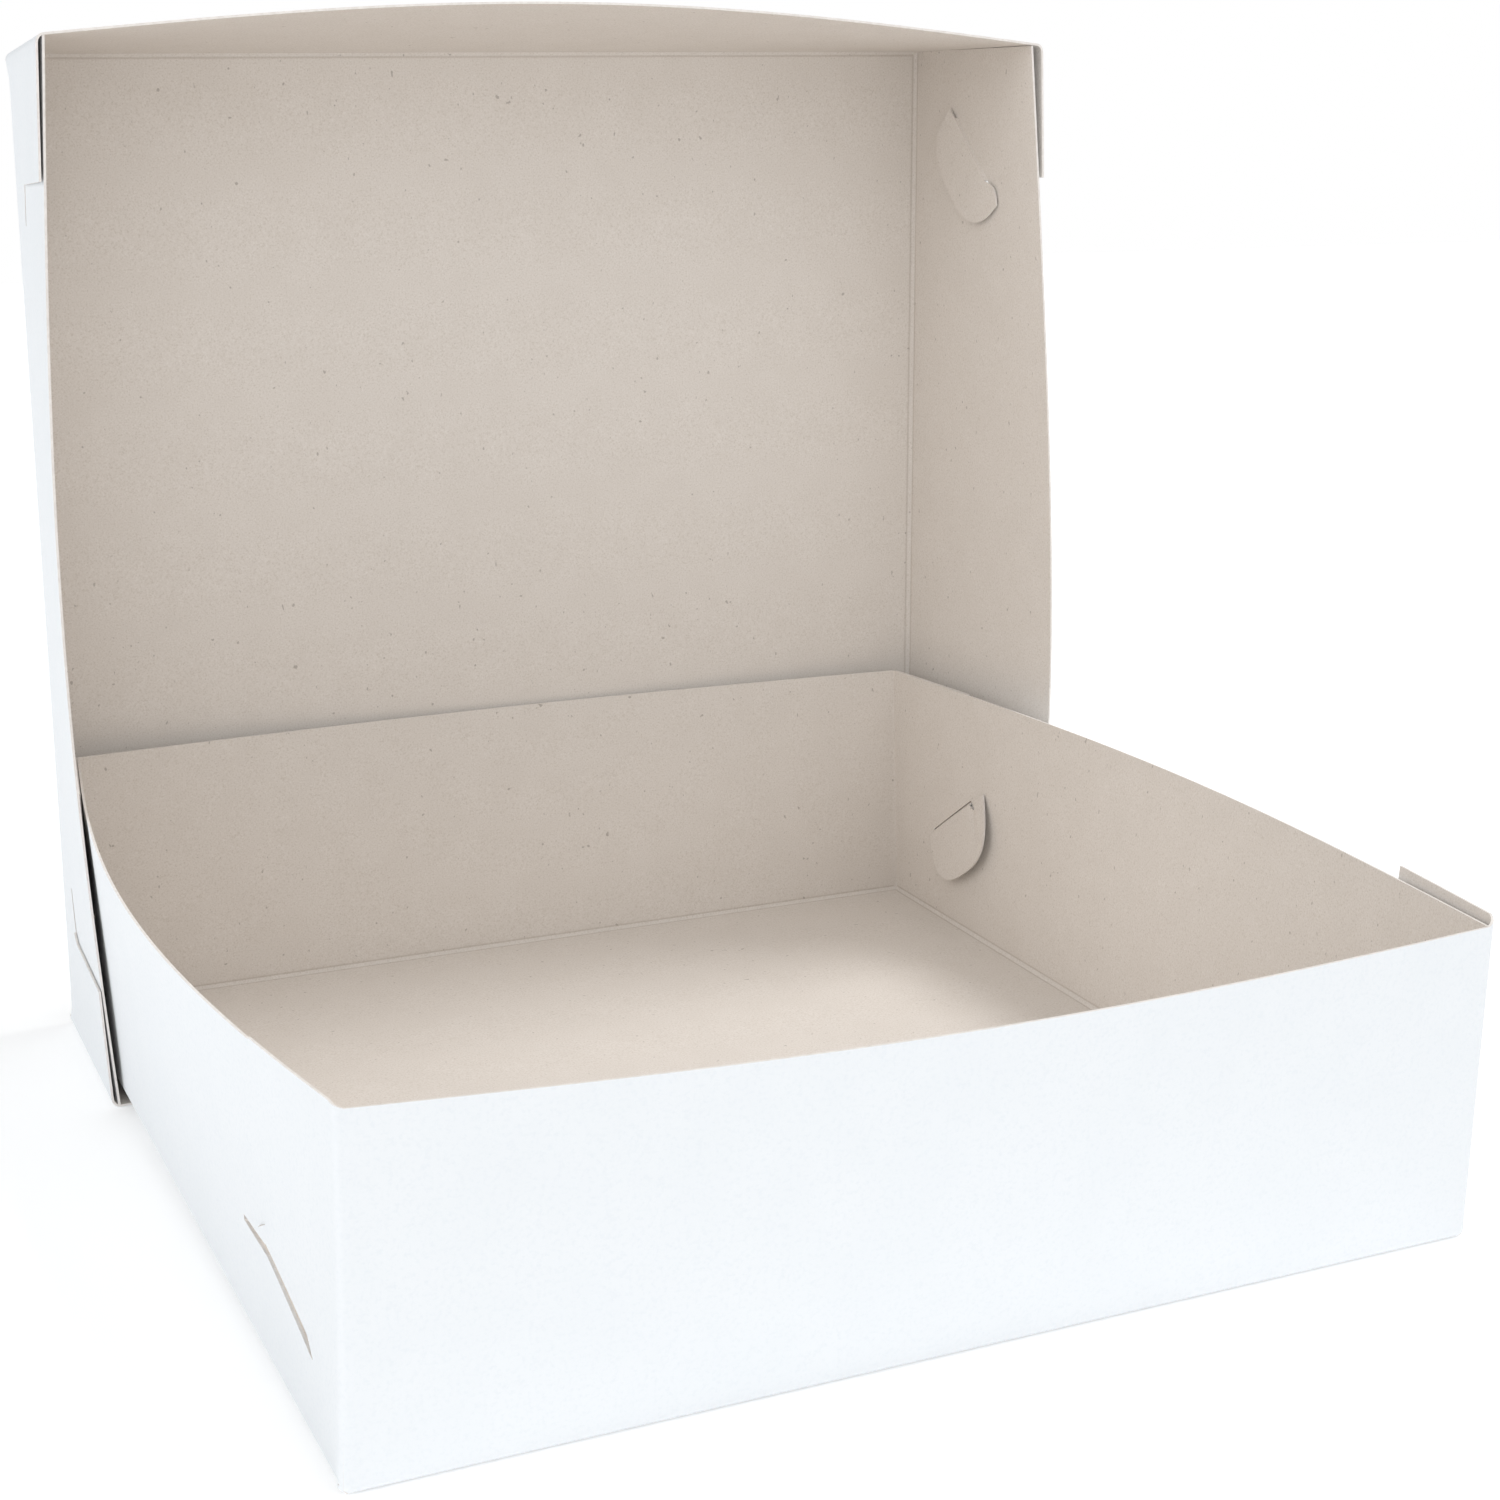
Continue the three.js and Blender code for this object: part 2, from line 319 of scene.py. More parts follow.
@dataclass(frozen=True)
class InnerBoard:
    """The uncoated inside of recycled board, with its fibres, specks and score lines, whose grooves
    are darkened with painted shade.
    """

    colour: Colour = (0.75, 0.70, 0.65)
    dark_fibre: Colour = (0.645, 0.59, 0.53)
    pale_fibre: Colour = (0.845, 0.805, 0.765)
    speck: Colour = (0.22, 0.18, 0.15)
    # Painted shade: the dark colour laid along the score lines' grooves
    score_shade: Colour = (0.45, 0.38, 0.32)
    fibre_size: float = 0.42 * MM
    cloud_size: float = 9 * MM
    speck_size: float = 1.3 * MM
    speck_stretch: tuple[float, float, float] = (1.0, 1.35, 0.8)
    dark_band: Band = (0.30, 0.50)
    pale_band: Band = (0.52, 0.74)
    speck_band: Band = (0.745, 0.80)
    pale_share: float = 0.8
    cloud_share: float = 0.12
    speck_share: float = 0.45
    # How strongly that painted shade darkens the grooves
    score_shade_share: float = 0.35
    score_place: float = 1.1 * MM
    score_width: float = 0.45 * MM
    score_depth: float = 0.5
    relief: float = 0.03 * MM
    bead: float = 0.16 * MM
    roughness: Band = (0.86, 0.96)

    def material(self) -> bpy.types.Material:
        """Builds the finish.

        Returns:
            The material.
        """
        graph = Graph("inner_board")
        where = graph.place()
        fibre = graph.noise(where, self.fibre_size, detail=4.0, rough=0.65)
        cloud = graph.noise(where, self.cloud_size, detail=3.0, rough=0.55)
        stretched = graph.place(self.speck_stretch)
        speck = graph.noise(stretched, self.speck_size, detail=1.0, rough=0.4)
        colour = graph.mix(fibre.ramp(*self.dark_band, 1.0, 0.0), self.colour, self.dark_fibre)
        colour = graph.mix(fibre.ramp(*self.pale_band) * self.pale_share, colour, self.pale_fibre)
        colour = graph.mix(cloud.ramp(*SOFT_BAND, 0.0, self.cloud_share), colour, self.dark_fibre)
        colour = graph.mix(speck.ramp(*self.speck_band, 0.0, self.speck_share), colour, self.speck)
        marks = graph.node("ShaderNodeUVMap")
        across = graph.node("ShaderNodeSeparateXYZ", None, {0: marks}, "Y")
        groove = 1 - (across.size() - self.score_place).size().ramp(0.0, self.score_width)
        # Painted shade darkens the colour in the score lines' grooves; the bump below gives them
        # their relief
        colour = graph.mix(groove * self.score_shade_share, colour, self.score_shade)
        ridge = across.size().ramp(0.0, self.score_place, 1.0, 0.0)
        fibres = graph.bump(fibre, self.relief)
        graph.shade(
            Base_Color=colour,
            Roughness=fibre.ramp(*WIDE_BAND, *self.roughness),
            Normal=graph.bump(ridge - groove * self.score_depth, self.bead, fibres),
            Specular_IOR_Level=SPECULAR,
        )
        return graph.material


@dataclass(frozen=True)
class CutEdge:
    """The raw cut edge, where the plies of the board show."""

    colour: Colour = (0.75, 0.71, 0.675)
    pale: Colour = (0.82, 0.785, 0.75)
    ply_size: float = 1.5 * MM
    roughness: Band = (0.85, 0.95)

    def material(self) -> bpy.types.Material:
        """Builds the finish.

        Returns:
            The material.
        """
        graph = Graph("cut_edge")
        ply = graph.noise(graph.place(), self.ply_size, detail=3.0, rough=0.6)
        colour = graph.mix(ply.ramp(*SOFT_BAND), self.colour, self.pale)
        graph.shade(
            Base_Color=colour,
            Roughness=ply.ramp(*WIDE_BAND, *self.roughness),
            Specular_IOR_Level=SPECULAR,
        )
        return graph.material


@dataclass(frozen=True)
class StudioFloor:
    """The plain pale floor that the box stands on."""

    colour: Colour = (0.985, 0.985, 0.985)
    grain_size: float = 2 * MM
    roughness: Band = (0.78, 0.84)
    specular: float = 0.1
    glow: float = 0.2

    def material(self) -> bpy.types.Material:
        """Builds the finish.

        Returns:
            The material.
        """
        graph = Graph("studio_floor")
        grain = graph.noise(graph.place(), self.grain_size)
        graph.shade(
            Base_Color=(*self.colour, 1.0),
            Roughness=grain.ramp(*WIDE_BAND, *self.roughness),
            Specular_IOR_Level=self.specular,
            Emission_Color=WHITE,
            Emission_Strength=self.glow,
        )
        return graph.material


# --- sheets


def unscored(column: int, row: int) -> tuple[float, float]:
    """Returns the marks of a point that lies too far from a fold to be scored."""
    return column, FAR_FROM_FOLD


def scored(rows: list[tuple[float, float, float]]) -> Mark:
    """Returns the marks of a wall's points, by each row's way from the fold."""
    return lambda column, row: (column * COLUMN_MARK, rows[row][2])


class Blank:
    """Patches of one sheet of board, made one by one and then joined along their edges."""

    def __init__(self, name: str) -> None:
        """Starts an empty sheet of that name."""
        self.name = name
        self.patches: list[bpy.types.Object] = []

    def patch(self, columns: int, rows: int, place: Place, mark: Mark) -> bpy.types.Object:
        """Adds a grid and lays its points along a surface.

        Args:
            columns: Faces along the grid.
            rows: Faces across it.
            place: Where the point of a column and row goes, in millimetres.
            mark: That point's distances along and across the nearest fold, in millimetres.

        Returns:
            The patch, in metres.
        """
        deselect_all()
        bpy.ops.mesh.primitive_grid_add(x_subdivisions=columns, y_subdivisions=rows, size=1)
        piece = bpy.context.object
        mesh = piece.data
        spots = [
            (round((point.co.x + 0.5) * columns), round((point.co.y + 0.5) * rows))
            for point in mesh.vertices
        ]
        marks = mesh.uv_layers.active.data
        for loop in mesh.loops:
            marks[loop.index].uv = [MM * value for value in mark(*spots[loop.vertex_index])]
        for point, spot in zip(mesh.vertices, spots):
            point.co = place(*spot) * MM
        self.patches.append(piece)
        return piece

    def joined(self) -> bpy.types.Object:
        """Joins the patches, closes their seams and faces the coated side outwards.

        Returns:
            The sheet, without thickness.
        """
        deselect_all()
        for piece in self.patches:
            piece.select_set(True)
        bpy.context.view_layer.objects.active = self.patches[0]
        bpy.ops.object.join()
        sheet = bpy.context.object
        sheet.name = sheet.data.name = self.name
        bpy.ops.object.mode_set(mode="EDIT")
        bpy.ops.mesh.select_all(action="SELECT")
        bpy.ops.mesh.remove_doubles(threshold=SEAM)
        bpy.ops.mesh.normals_make_consistent(inside=False)
        bpy.ops.object.mode_set(mode="OBJECT")
        lowest = min(
            sheet.data.polygons,
            key=lambda face: face.center.z + face.center.length * NEARER_SHARE,
        )
        if lowest.normal.z > 0:
            bpy.ops.object.mode_set(mode="EDIT")
            bpy.ops.mesh.flip_normals()
            bpy.ops.object.mode_set(mode="OBJECT")
        return sheet


@dataclass(frozen=True)
class Board:
    """The board that both trays are folded from, in millimetres.

    Attributes:
        thickness: Of the board.
        clearance: Between an ear and its wall.
        side_gap: Between a side wall's end and the outer face of the end wall.
        fold_radius: Of the folds along the floor.
        corner_radius: Of the folds at the corners.
        heel_foot: Radius of the lowest ring of a corner's heel.
        bow_rise: How late the walls' bows set in above their folds.
        fold_steps: Faces round a fold.
        wall_columns: Faces along a wall and across the floor.
        wall_rows: Faces up a wall.
    """

    thickness: float = 0.5
    clearance: float = 0.08
    side_gap: float = 0.56
    fold_radius: float = 1.2
    corner_radius: float = 2.0
    heel_foot: float = 0.75
    bow_rise: float = 1.1
    fold_steps: int = 4
    wall_columns: int = 48
    wall_rows: int = 14


@dataclass(frozen=True)
class CornerLock:
    """An ear, its slit and its hook, in millimetres from the corner and up from the fold.

    Attributes:
        ear_length: The ear's length at its shoulder.
        ear_top: Its length at the top.
        ear_foot: Height of its lowest point.
        ear_shoulder: Height where it reaches its length.
        ear_rise: How far it stands above the wall.
        spring: How far it springs off the wall at the top, at the corner and at its free end.
        slit_start: The slit's lower end.
        slit_length: Of the slit, and so of the neck.
        slit_angle: Of the slit above the level.
        slit_band: From the slit's line, where its opening starts and ends.
        slit_spread: How far the opening reaches past the slit's lower and upper end.
        slit_tail: Length of the cut that runs on level from the upper end.
        tail_drop: How far that cut falls.
        tail_overlap: How far it starts inside the slit.
        tail_root: Where its root lies against the upper end, at its foot and its top.
        tail_width: Of the cut at its tip.
        neck_length: From the slit to the hook.
        neck_rows: Faces along the neck.
        hook_overhang: How far the hook reaches past the slit's lower end.
        hook_length: Of the hook along the slit.
        hook_depth: Of the hook, out from the slit.
        hook_fullness: Of its outline, towards the lower and the upper end.
        hook_gap: Between the hook and the inside of the wall.
        hook_lift: How far the hook's rim curls off the wall.
        hook_rows: Faces out along the hook.
        barb_columns: Faces along the barbs at the lower and the upper end.
        barb_crowding: How much those faces crowd towards the tips.
        barb_rise: How far the upper barb bends back towards the slit.
        notch: Depth of the notch between the neck and the upper barb.
        notch_share: The notch's share of that barb.
        notch_window: Past the slit's end, where the notch's opening starts and ends.
        foot_columns: Faces along the ear below the slit.
        slit_columns: Faces along the slit.
        turn_columns: Faces round the corner.
    """

    ear_length: float = 31.5
    ear_top: float = 31.5
    ear_foot: float = 1.35
    ear_shoulder: float = 43.0
    ear_rise: float = 0.0
    spring: tuple[float, float] = (0.0, 0.2)
    slit_start: tuple[float, float] = (21.2, 24.2)
    slit_length: float = 19.6
    slit_angle: float = math.radians(37)
    slit_band: tuple[float, float] = (-0.1, 1.2)
    slit_spread: tuple[float, float] = (0.3, 0.3)
    slit_tail: float = 0.0
    tail_drop: float = -0.6
    tail_overlap: float = 1.0
    tail_root: tuple[float, float] = (-0.4, 1.6)
    tail_width: float = 1.2
    neck_length: float = 0.9
    neck_rows: int = 3
    hook_overhang: float = 2.6
    hook_length: float = 29.4
    hook_depth: float = 16.0
    hook_fullness: tuple[float, float] = (3.0, 2.8)
    hook_gap: float = 0.4
    hook_lift: float = 2.5
    hook_rows: int = 10
    barb_columns: tuple[int, int] = (4, 12)
    barb_crowding: float = 1.6
    barb_rise: float = 0.0
    notch: float = 2.4
    notch_share: float = 0.4
    notch_window: tuple[float, float] = (0.2, 0.75)
    foot_columns: int = 8
    slit_columns: int = 12
    turn_columns: int = 4

    def spot(self, along: float, out: float) -> Spot:
        """Finds a place of the lock.

        Args:
            along: Distance along the slit from its start.
            out: Distance from the slit towards the hook.

        Returns:
            Its distance from the corner and its height.
        """
        cosine, sine = math.cos(self.slit_angle), math.sin(self.slit_angle)
        reach = self.slit_start[0] + along * cosine + out * sine
        return reach, self.slit_start[1] + along * sine - out * cosine

    def window(self, near: float, far: float, low: float, high: float) -> list[Spot]:
        """Returns the corners of a window along the slit, as places of the lock."""
        sides = ((near, low), (far, low), (far, high), (near, high))
        return [self.spot(along, out) for along, out in sides]

    @property
    def slit_end(self) -> Spot:
        """The slit's upper end, as a distance from the corner and a height."""
        return self.spot(self.slit_length, 0.0)

    def narrowing(self, height: float, top: float) -> float:
        """Finds how long the ear is at a height.

        Args:
            height: Height above the fold.
            top: Height of the wall.

        Returns:
            Its length there, as a share of its reach at the slit's upper end.
        """
        low, high = self.slit_end[1], self.ear_shoulder
        if height < high:
            share = max((height - low) / (high - low), 0.0)
            return lerp(1.0, self.ear_length / self.slit_end[0], share)
        share = (height - high) / max(top - high, 1.0)
        return lerp(self.ear_length, self.ear_top, share) / self.slit_end[0]

    def foot_line(self, reach: float) -> float:
        """Finds the ear's lower edge.

        Args:
            reach: Distance from the corner.

        Returns:
            The edge's height there.
        """
        if reach <= self.ear_foot:
            return self.ear_foot
        if reach <= self.slit_start[0]:
            share = (reach - self.ear_foot) / (self.slit_start[0] - self.ear_foot)
            return lerp(self.ear_foot, self.slit_start[1], share)
        return self.slit_start[1] + (reach - self.slit_start[0]) * math.tan(self.slit_angle)

    def hook_out(self, along: float) -> float:
        """Finds how deep the hook is.

        Args:
            along: Distance along the slit from its start.

        Returns:
            How far the hook reaches out there.
        """
        half = self.hook_length / 2
        place = along + self.hook_overhang - half
        share = min(abs(place) / half, 1.0)
        fullness = self.hook_fullness[0 if place < 0 else 1]
        return self.hook_depth * (1 - share**fullness) ** (1 / fullness)

    def hook_root(self, along: float) -> float:
        """Finds the hook's edge towards the slit.

        Args:
            along: Distance along the slit from its start.

        Returns:
            How far from the slit the hook starts there.
        """
        tip = self.hook_length - self.hook_overhang
        if along <= self.slit_length or along >= tip:
            return self.neck_length
        share = (along - self.slit_length) / (tip - self.slit_length)
        notch = self.notch * math.sin(math.pi * min(share / self.notch_share, 1.0)) ** 2
        return self.neck_length + notch - self.barb_rise * math.sin(math.pi * share)


@dataclass(frozen=True)
class Wall:
    """A wall's lean and bow, in millimetres out of square.

    Attributes:
        start: Of its free edge, at the left or front end.
        end: Of its free edge, at the other end.
        bow: Of its free edge, between the ends.
        peak: Share of its length where the bow peaks.
        foot: Of its fold, at both ends.
    """

    start: float
    end: float
    bow: float
    peak: float = 0.5
    foot: tuple[float, float] = (0.0, 0.0)

    def offset(self, along: float, up: float, rise: float) -> float:
        """Finds how far the wall's face stands out of square.

        Args:
            along: Share of its length.
            up: Share of its height.
            rise: How late the bow sets in above the fold.

        Returns:
            The distance outwards, in millimetres.
        """
        place = along ** (math.log(0.5) / math.log(self.peak))
        bow = self.bow * math.sin(math.pi * place) * up**rise if up > 0 else 0.0
        return lerp(lerp(*self.foot, along), lerp(self.start, self.end, along), up) + bow


@dataclass
class Tray:
    """One sheet of board folded and locked into a tray, in millimetres."""

    name: str
    node: str
    width: float
    depth: float
    height: float
    ends: dict[End, Wall]
    sides: dict[Side, Wall]
    locks: dict[tuple[End, Side], CornerLock]
    placement: Matrix
    board: Board = field(default_factory=Board)

    def side_face(self, side: Side, y: float, z: float) -> float:
        """Returns the distance of a side wall's outer face from the middle."""
        along = min(max(y / self.depth + 0.5, 0.0), 1.0)
        return self.width / 2 + self.sides[side].offset(along, z / self.height, self.board.bow_rise)

    def end_face(self, end: End, x: float, z: float) -> float:
        """Returns the distance of an end wall's outer face from the middle."""
        along = min(max(x / self.width + 0.5, 0.0), 1.0)
        return self.depth / 2 + self.ends[end].offset(along, z / self.height, self.board.bow_rise)

    def corner_face(self, side: Side, end: End, z: float) -> float:
        """Returns the distance of an end wall's outer face from the middle at a corner."""
        return self.end_face(end, side.value * self.width / 2, z)

    def on_side(self, side: Side, end: End, reach: float, z: float, lift: float) -> Vector:
        """Finds a point beside a side wall.

        Args:
            side: The side wall.
            end: The end whose corner the point is measured from.
            reach: Distance from that corner.
            z: Height above the fold.
            lift: Distance outwards from the wall's outer face.

        Returns:
            The point.
        """
        y = end.value * (self.corner_face(side, end, z) - reach)
        return Vector((side.value * (self.side_face(side, y, z) + lift), y, z))

    def ear_lift(self, side: Side, end: End, reach: float, z: float) -> float:
        """Finds how far an ear's outer face stands off the wall's outer face.

        Args:
            side: The side wall under the ear.
            end: The end wall that the ear belongs to.
            reach: Distance from the corner.
            z: Height above the fold.

        Returns:
            The distance outwards.
        """
        lock = self.locks[end, side]
        spring = lerp(*lock.spring, min(reach / lock.ear_length, 1.0)) * (z / self.height)
        return self.board.clearance + self.board.thickness + spring

    def bend(self, step: int) -> tuple[float, float]:
        """Follows the floor's fold.

        Args:
            step: How many steps up from the floor.

        Returns:
            The inset and the height there.
        """
        angle = math.pi / 2 * step / self.board.fold_steps
        radius = self.board.fold_radius
        return radius * (1 - math.sin(angle)), radius * (1 - math.cos(angle))

    def level(self, step: int) -> float:
        """Returns the height of a step up a wall above its fold."""
        foot = min(lock.ear_foot for lock in self.locks.values())
        return lerp(foot, self.height, step / self.board.wall_rows)

    def rows(self) -> list[tuple[float, float, float]]:
        """Lists the rows of a wall, up from the floor.

        Returns:
            Each row's inset, its height and its way along the board from the fold.
        """
        steps = self.board.fold_steps
        radius = self.board.fold_radius
        found = []
        for step in range(steps + 1):
            inset, z = self.bend(step)
            found.append((inset, z, radius * math.pi / 2 * (step / steps - 0.5)))
        for step in range(self.board.wall_rows + 1):
            z = self.level(step)
            found.append((0.0, z, z - radius + radius * math.pi / 4))
        return found

    def corner_centre(self, side: Side, end: End, z: float) -> float:
        """Finds the centre of a corner fold.

        Args:
            side: The side wall at the corner.
            end: The end wall at the corner.
            z: Height above the fold.

        Returns:
            The centre's distance from the middle, along X.
        """
        radius = self.board.corner_radius
        point = self.on_side(side, end, radius, z, self.ear_lift(side, end, radius, z))
        return abs(point.x) - radius

    def lay_floor(self, blank: Blank) -> None:
        """Adds the floor, up to the folds of all four walls.

        Args:
            blank: The sheet to add to.
        """
        count = self.board.wall_columns
        radius = self.board.fold_radius
        half_x = self.width / 2 - radius

        def place(column: int, row: int) -> Vector:
            """Finds a point of the floor.

            Args:
                column: Its column.
                row: Its row.

            Returns:
                The point.
            """
            x = lerp(-half_x, half_x, column / count)
            front, back = (self.end_face(end, x, 0) - radius for end in End)
            return Vector((x, lerp(-front, back, row / count), 0))

        # Its marks are set here, by the nearest of the four folds
        floor = blank.patch(count, count, place, unscored)
        marks = floor.data.uv_layers.active.data
        for loop in floor.data.loops:
            point = floor.data.vertices[loop.vertex_index].co / MM
            end = End.BACK if point.y > 0 else End.FRONT
            half_y = self.end_face(end, point.x, 0) - radius
            away = min(half_x - abs(point.x), half_y - abs(point.y))
            marks[loop.index].uv = (point.x * MM, -(away + radius * math.pi / 4) * MM)

    def lay_end(self, blank: Blank, end: End) -> None:
        """Adds an end wall with its fold.

        Args:
            blank: The sheet to add to.
            end: Which end.
        """
        rows = self.rows()
        count = self.board.wall_columns
        flat = self.width / 2 - self.board.fold_radius

        def place(column: int, row: int) -> Vector:
            """Finds a point of the wall.

            Args:
                column: Its column.
                row: Its row.

            Returns:
                The point.
            """
            inset, z, _ = rows[row]
            share = column / count
            left, right = (self.corner_centre(side, end, z) if row else flat for side in Side)
            along = lerp(-self.width / 2, self.width / 2, share)
            y = end.value * (self.end_face(end, along, z) - inset)
            return Vector((lerp(-left, right, share), y, z))

        blank.patch(count, len(rows) - 1, place, scored(rows))

    def lay_side(self, blank: Blank, side: Side) -> None:
        """Adds a side wall with its fold and cuts its two slits.

        Args:
            blank: The sheet to add to.
            side: Which side.
        """
        rows = self.rows()
        count = self.board.wall_columns

        def place(column: int, row: int) -> Vector:
            """Finds a point of the wall.

            Args:
                column: Its column.
                row: Its row.

            Returns:
                The point.
            """
            inset, z, _ = rows[row]
            short = self.board.side_gap if row else self.board.fold_radius
            front, back = (self.corner_face(side, end, z) - short for end in End)
            y = lerp(-front, back, column / count)
            return Vector((side.value * (self.side_face(side, y, z) - inset), y, z))

        wall = blank.patch(count, len(rows) - 1, place, scored(rows))
        for end in End:
            self.cut_slit(wall, end, side)

    def cut_slit(self, wall: bpy.types.Object, end: End, side: Side) -> None:
        """Cuts a slit through a side wall, with its notch and its tail.

        Args:
            wall: The wall's patch.
            end: The end whose hook passes through the slit.
            side: The wall's side.
        """
        lock = self.locks[end, side]
        before, after = lock.slit_spread
        low, high = lock.slit_band
        self.cut_window(wall, end, lock.window(-before, lock.slit_length + after, low, high))
        if lock.notch:
            near, far = (lock.slit_length + past for past in lock.notch_window)
            self.cut_window(wall, end, lock.window(near, far, low, high + lock.notch))
        if lock.slit_tail:
            reach, z = lock.spot(lock.slit_length + after, high)
            root, tip = reach - lock.tail_overlap, reach + lock.slit_tail
            foot, top = lock.tail_root
            self.cut_window(wall, end, [
                (root, z + foot),
                (tip, z - lock.tail_drop),
                (tip, z - lock.tail_drop + lock.tail_width),
                (root, z + top),
            ])

    def cut_window(self, wall: bpy.types.Object, end: End, outline: list[Spot]) -> None:
        """Cuts a four-sided hole through a side wall.

        Args:
            wall: The wall's patch.
            end: The end whose corner the outline is measured from.
            outline: The hole's corners, from the wall's corner and up from its fold.
        """
        corners = [
            Vector((0, end.value * (self.depth / 2 - reach), z)) * MM for reach, z in outline
        ]
        middle = sum(corners, Vector()) / len(corners)
        edges = list(zip(corners, corners[1:] + corners[:1]))
        around = max((corner - middle).length for corner in corners) + WINDOW_MARGIN
        make_active(wall)
        for start, finish in edges:
            for face in wall.data.polygons:
                face.select = (face.center.yz - middle.yz).length < around
            bpy.ops.object.mode_set(mode="EDIT")
            bpy.ops.mesh.select_mode(type="FACE")
            normal = (finish - start).cross(Vector((1, 0, 0))).normalized()
            bpy.ops.mesh.bisect(plane_co=start, plane_no=normal)
            bpy.ops.object.mode_set(mode="OBJECT")
        for face in wall.data.polygons:
            sides = [
                (finish - start).yz.normalized().cross(face.center.yz - start.yz)
                for start, finish in edges
            ]
            face.select = min(sides) > 0 or max(sides) < 0
        bpy.ops.object.mode_set(mode="EDIT")
        bpy.ops.mesh.delete(type="FACE")
        bpy.ops.object.mode_set(mode="OBJECT")

    def lay_ear(self, blank: Blank, end: End, side: Side) -> None:
        """Adds the corner fold and the ear that wraps round it.

        Args:
            blank: The sheet to add to.
            end: The end wall that carries the ear.
            side: The side wall that the ear lies on.
        """
        lock = self.locks[end, side]
        radius = self.board.corner_radius
        turns = lock.turn_columns
        reaches = [
            lerp(radius, lock.slit_start[0], step / lock.foot_columns)
            for step in range(lock.foot_columns + 1)
        ]
        reaches += [
            lock.spot(lock.slit_length * step / lock.slit_columns, 0.0)[0]
            for step in range(1, lock.slit_columns + 1)
        ]

        def place(column: int, row: int) -> Vector:
            """Finds a point of the corner fold or the ear.

            Args:
                column: Its column.
                row: Its row.

            Returns:
                The point.
            """
            share = row / self.board.wall_rows
            lift = lock.ear_rise * min(column / turns, 1.0)
            if column < turns:
                angle = math.pi / 2 * (1 - column / turns)
                z = lerp(lock.ear_foot, self.height + lift, share)
                x = self.corner_centre(side, end, z) + radius * math.cos(angle)
                y = self.corner_face(side, end, z) - radius + radius * math.sin(angle)
                return Vector((side.value * x, end.value * y, z))
            reach = reaches[column - turns]
            z = lerp(lock.foot_line(reach), self.height + lift, share)
            reach = radius + (reach - radius) * lock.narrowing(z, self.height)
            return self.on_side(side, end, reach, z, self.ear_lift(side, end, reach, z))

        columns = turns + len(reaches) - 1
        blank.patch(columns, self.board.wall_rows, place, unscored)

    def lay_heel(self, blank: Blank, end: End, side: Side) -> None:
        """Adds the small heel that closes a corner below its fold.

        Args:
            blank: The sheet to add to.
            end: The end wall at the corner.
            side: The side wall at the corner.
        """
        lock = self.locks[end, side]
        radius = self.board.corner_radius
        steps = range(1, self.board.fold_steps + 1)
        lowest = (radius - self.board.heel_foot, 0.0)
        levels = [lowest, *map(self.bend, steps), (0.0, lock.ear_foot)]

        def place(column: int, row: int) -> Vector:
            """Finds a point of the heel.

            Args:
                column: Its column.
                row: Its row.

            Returns:
                The point.
            """
            inset, z = levels[row]
            angle = math.pi / 2 * (1 - column / lock.turn_columns)
            x = self.corner_centre(side, end, z) + (radius - inset) * math.cos(angle)
            y = self.corner_face(side, end, z) - radius + (radius - inset) * math.sin(angle)
            return Vector((side.value * x, end.value * y, z))

        blank.patch(lock.turn_columns, len(levels) - 1, place, unscored)

    def lay_hook(self, blank: Blank, end: End, side: Side) -> None:
        """Adds the neck that passes through the slit and the hook inside the wall.

        Args:
            blank: The sheet to add to.
            end: The end wall whose ear carries them.
            side: The side wall that the slit is in.
        """
        lock = self.locks[end, side]
        inside = -(self.board.thickness + lock.hook_gap)
        neck = [
            lock.slit_length * step / lock.slit_columns for step in range(lock.slit_columns + 1)
        ]

        def neck_point(column: int, row: int) -> Vector:
            """Finds a point of the neck.

            Args:
                column: Its column.
                row: Its row.

            Returns:
                The point.
            """
            share = row / lock.neck_rows
            reach, z = lock.spot(neck[column], lock.neck_length * share)
            ear = self.ear_lift(side, end, reach, z)
            return self.on_side(side, end, reach, z, lerp(ear, inside, share))

        blank.patch(lock.slit_columns, lock.neck_rows, neck_point, unscored)
        before, after = lock.barb_columns
        tip = lock.hook_length - lock.hook_overhang
        lengths = [
            -lock.hook_overhang * (1 - (step / before) ** lock.barb_crowding)
            for step in range(before)
        ]
        lengths += neck
        lengths += [
            lerp(lock.slit_length, tip, 1 - (1 - step / after) ** lock.barb_crowding)
            for step in range(1, after + 1)
        ]

        def hook_point(column: int, row: int) -> Vector:
            """Finds a point of the hook.

            Args:
                column: Its column.
                row: Its row.

            Returns:
                The point.
            """
            along = lengths[column]
            share = row / lock.hook_rows
            depth = lock.hook_out(along) * share
            root = lerp(lock.hook_root(along), lock.neck_length, share)
            reach, z = lock.spot(along, root + depth)
            lift = inside - lock.hook_lift * math.sin(math.pi / 2 * min(depth / lock.hook_depth, 1))
            return self.on_side(side, end, reach, z, lift)

        blank.patch(len(lengths) - 1, lock.hook_rows, hook_point, unscored)

